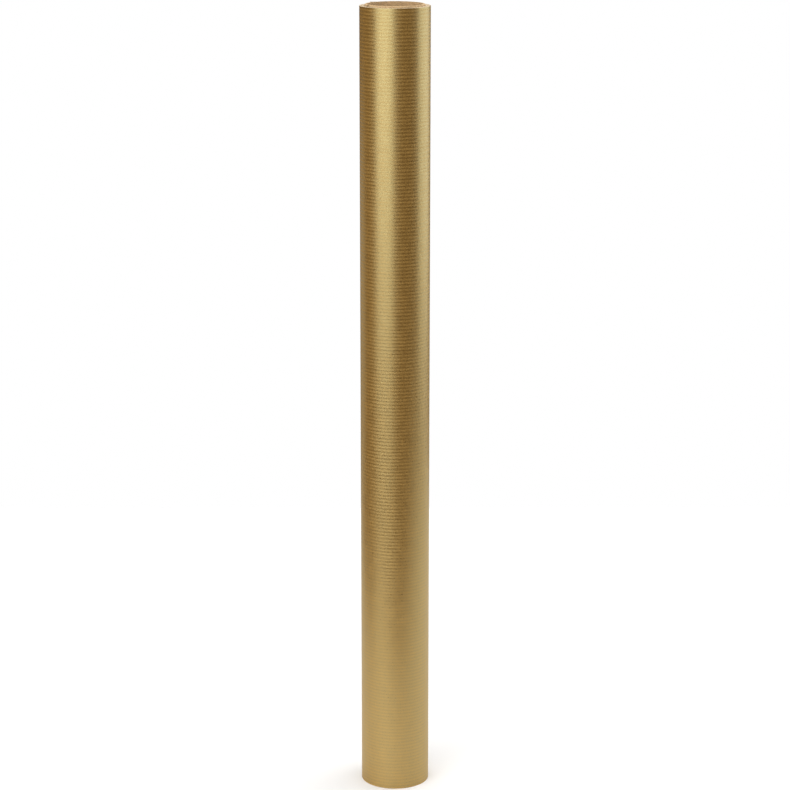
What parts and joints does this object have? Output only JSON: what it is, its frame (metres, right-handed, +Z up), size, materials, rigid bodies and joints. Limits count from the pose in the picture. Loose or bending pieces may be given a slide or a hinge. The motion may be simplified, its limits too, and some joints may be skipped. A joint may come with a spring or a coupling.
{
  "type": "wrapping paper roll",
  "caption": "Upright roll of ribbed satin gold gift wrapping paper on a loose, open board core that stands slightly proud; the core slides out and the taped tail lifts.",
  "frame": {"origin": "on the roll's axis, in the plane of the end face that the roll stands on", "axes": "+Z up along the roll's axis; +Y towards the back, where the tail of the sheet lies; the hole runs along Z"},
  "size_m": [0.0435, 0.0438, 0.501],
  "materials": {
    "gold_paper": "satin",
    "core_board_inside": "matte",
    "core_board_middle": "matte",
    "core_board_outside": "matte",
    "clear_tape": "gloss"
  },
  "bodies": {
    "roll": {"paper_winding": "gold_paper"},
    "core": {"core_inner_ply": "core_board_inside", "core_middle_ply": "core_board_middle", "core_outer_ply": "core_board_outside"},
    "tail": {"paper_tail": "gold_paper", "tail_tape": "clear_tape"}
  },
  "joints": [
    {"name": "core_slide", "type": "slide", "parent": "roll", "child": "core", "axis": [0, 0, 1], "range_m": [0, 0.48]},
    {"name": "tail_lift", "type": "hinge", "parent": "roll", "child": "tail", "pos_m": [0.01467, 0.01629, 0.25], "axis": [0, 0, -1], "range_deg": [0, 75], "stiffness_Nm_per_rad": 0.0005}
  ]
}
